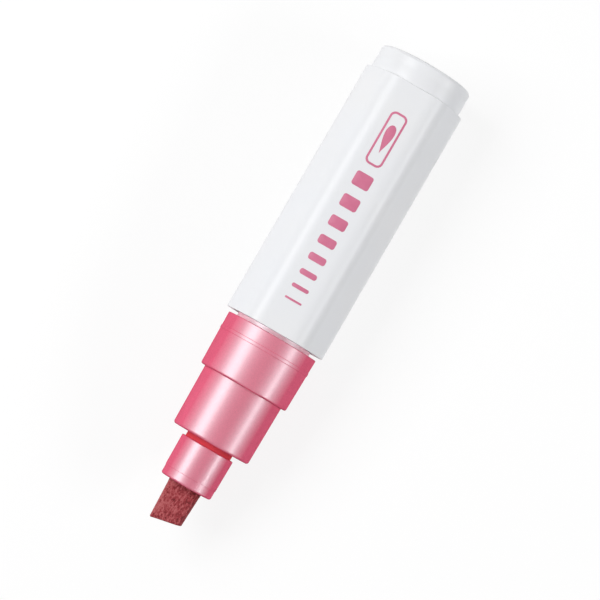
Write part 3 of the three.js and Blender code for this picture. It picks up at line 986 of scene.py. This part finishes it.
# One where a ray comes from the camera or off a gloss or glass surface, else nought
def seenRays(tree):
    path = nodeIn(tree, "ShaderNodeLightPath").outputs
    sockets = {0: path["Is Camera Ray"], 1: path["Is Glossy Ray"]}
    first = nodeIn(tree, "ShaderNodeMath", sockets, operation="MAXIMUM").outputs[0]
    sockets = {0: first, 1: path["Is Transmission Ray"]}
    return nodeIn(tree, "ShaderNodeMath", sockets, operation="MAXIMUM").outputs[0]


def makeStudio(settings):
    half = settings["floorSize"] / 2
    mesh = bpy.data.meshes.new("floor")
    corners = [(-half, -half, 0), (half, -half, 0), (half, half, 0), (-half, half, 0)]
    mesh.from_pydata(corners, [], [(0, 1, 2, 3)])
    floor = bpy.data.objects.new("floor", mesh)
    bpy.context.scene.collection.objects.link(floor)
    material = bpy.data.materials.new("floor_pale")
    material.use_nodes = True
    tree = material.node_tree
    tree.nodes.clear()
    glow = productIn(tree, seenRays(tree), settings["floorGlow"])
    matt = nodeIn(tree, "ShaderNodeBsdfDiffuse", {"Color": settings["floorColour"]})
    white = nodeIn(tree, "ShaderNodeEmission", {"Color": (1, 1, 1, 1), "Strength": settings["floorWhite"]})
    mixed = nodeIn(tree, "ShaderNodeMixShader", {0: glow, 1: matt.outputs[0], 2: white.outputs[0]})
    nodeIn(tree, "ShaderNodeOutputMaterial", {"Surface": mixed.outputs[0]})
    mesh.materials.append(material)

    world = bpy.data.worlds.new("studio")
    bpy.context.scene.world = world
    world.use_nodes = True
    tree = world.node_tree
    tree.nodes.clear()
    height = alongIn(tree, nodeIn(tree, "ShaderNodeTexCoord").outputs["Generated"], 2)
    whiteTop = settings["whiteBelow"]
    low = rangeIn(tree, height, whiteTop, whiteTop + settings["whiteFade"], 1.0, 0.0)
    backdrop = productIn(tree, low, seenRays(tree))
    level = rangeIn(tree, backdrop, 0, 1, settings["skyLevel"], 1.0)
    sky = nodeIn(tree, "ShaderNodeBackground", {"Color": (1, 1, 1, 1), "Strength": level})
    nodeIn(tree, "ShaderNodeOutputWorld", {"Surface": sky.outputs[0]})


# A long light beside the marker, its length along X, facing the axis. Its power is radiance x pi x area.
def makeStrip(name, tilt, lean, distance, width, length, radiance):
    light = bpy.data.lights.new(name, "AREA")
    light.shape, light.size, light.size_y = "RECTANGLE", width, length
    light.energy = radiance * math.pi * width * length
    lamp = bpy.data.objects.new(name, light)
    bpy.context.scene.collection.objects.link(lamp)
    tilt, lean = math.radians(tilt), math.radians(lean)
    away = Vector((math.sin(lean), math.cos(lean) * math.sin(tilt), math.cos(lean) * math.cos(tilt)))
    lengthways = Vector((math.cos(lean), -math.sin(lean) * math.sin(tilt), -math.sin(lean) * math.cos(tilt)))
    turned = Matrix((lengthways.cross(away), lengthways, away)).transposed().to_4x4()
    lamp.matrix_world = Matrix.Translation(away * distance + Vector((0, 0, axisHeight * mm))) @ turned
    lamp.visible_camera = False


makeStudio(studio)
for strip in strips:
    makeStrip(*strip)

view = {
    "foot": (-29.9, 0.0),  # mm, the point of the axis straight under the lens
    "height": 700.0,  # mm above the axis
    "aim": (-0.3, -1.30),  # mm, the point at the axis' height in the middle of the picture
    "turn": 30.08,  # degrees that the marker's length leans from the picture's upright
    "pixelsPerMm": 4.36,
    "pictureWidth": 600,
    "sensorWidth": 36,
    "clip": (0.05, 20),  # metres
}


def makeCamera(settings):
    camera = bpy.data.cameras.new("camera")
    camera.sensor_fit = "HORIZONTAL"
    camera.sensor_width = settings["sensorWidth"]
    camera.lens = (settings["sensorWidth"] * settings["height"] * settings["pixelsPerMm"]
                   / settings["pictureWidth"])
    camera.clip_start, camera.clip_end = settings["clip"]
    place = Vector((*settings["foot"], axisHeight + settings["height"])) * mm
    aim = Vector((*settings["aim"], axisHeight)) * mm
    lean = math.radians(settings["turn"])
    back = (place - aim).normalized()
    up = Vector((math.cos(lean), math.sin(lean), 0))
    right = up.cross(back).normalized()
    up = back.cross(right)
    holder = bpy.data.objects.new("camera", camera)
    bpy.context.scene.collection.objects.link(holder)
    holder.matrix_world = Matrix.Translation(place) @ Matrix((right, up, back)).transposed().to_4x4()
    bpy.context.scene.camera = holder


makeCamera(view)
bpy.context.scene.view_settings.view_transform = "Standard"
print("paint marker: studio and camera made")

bpy.context.view_layer.update()
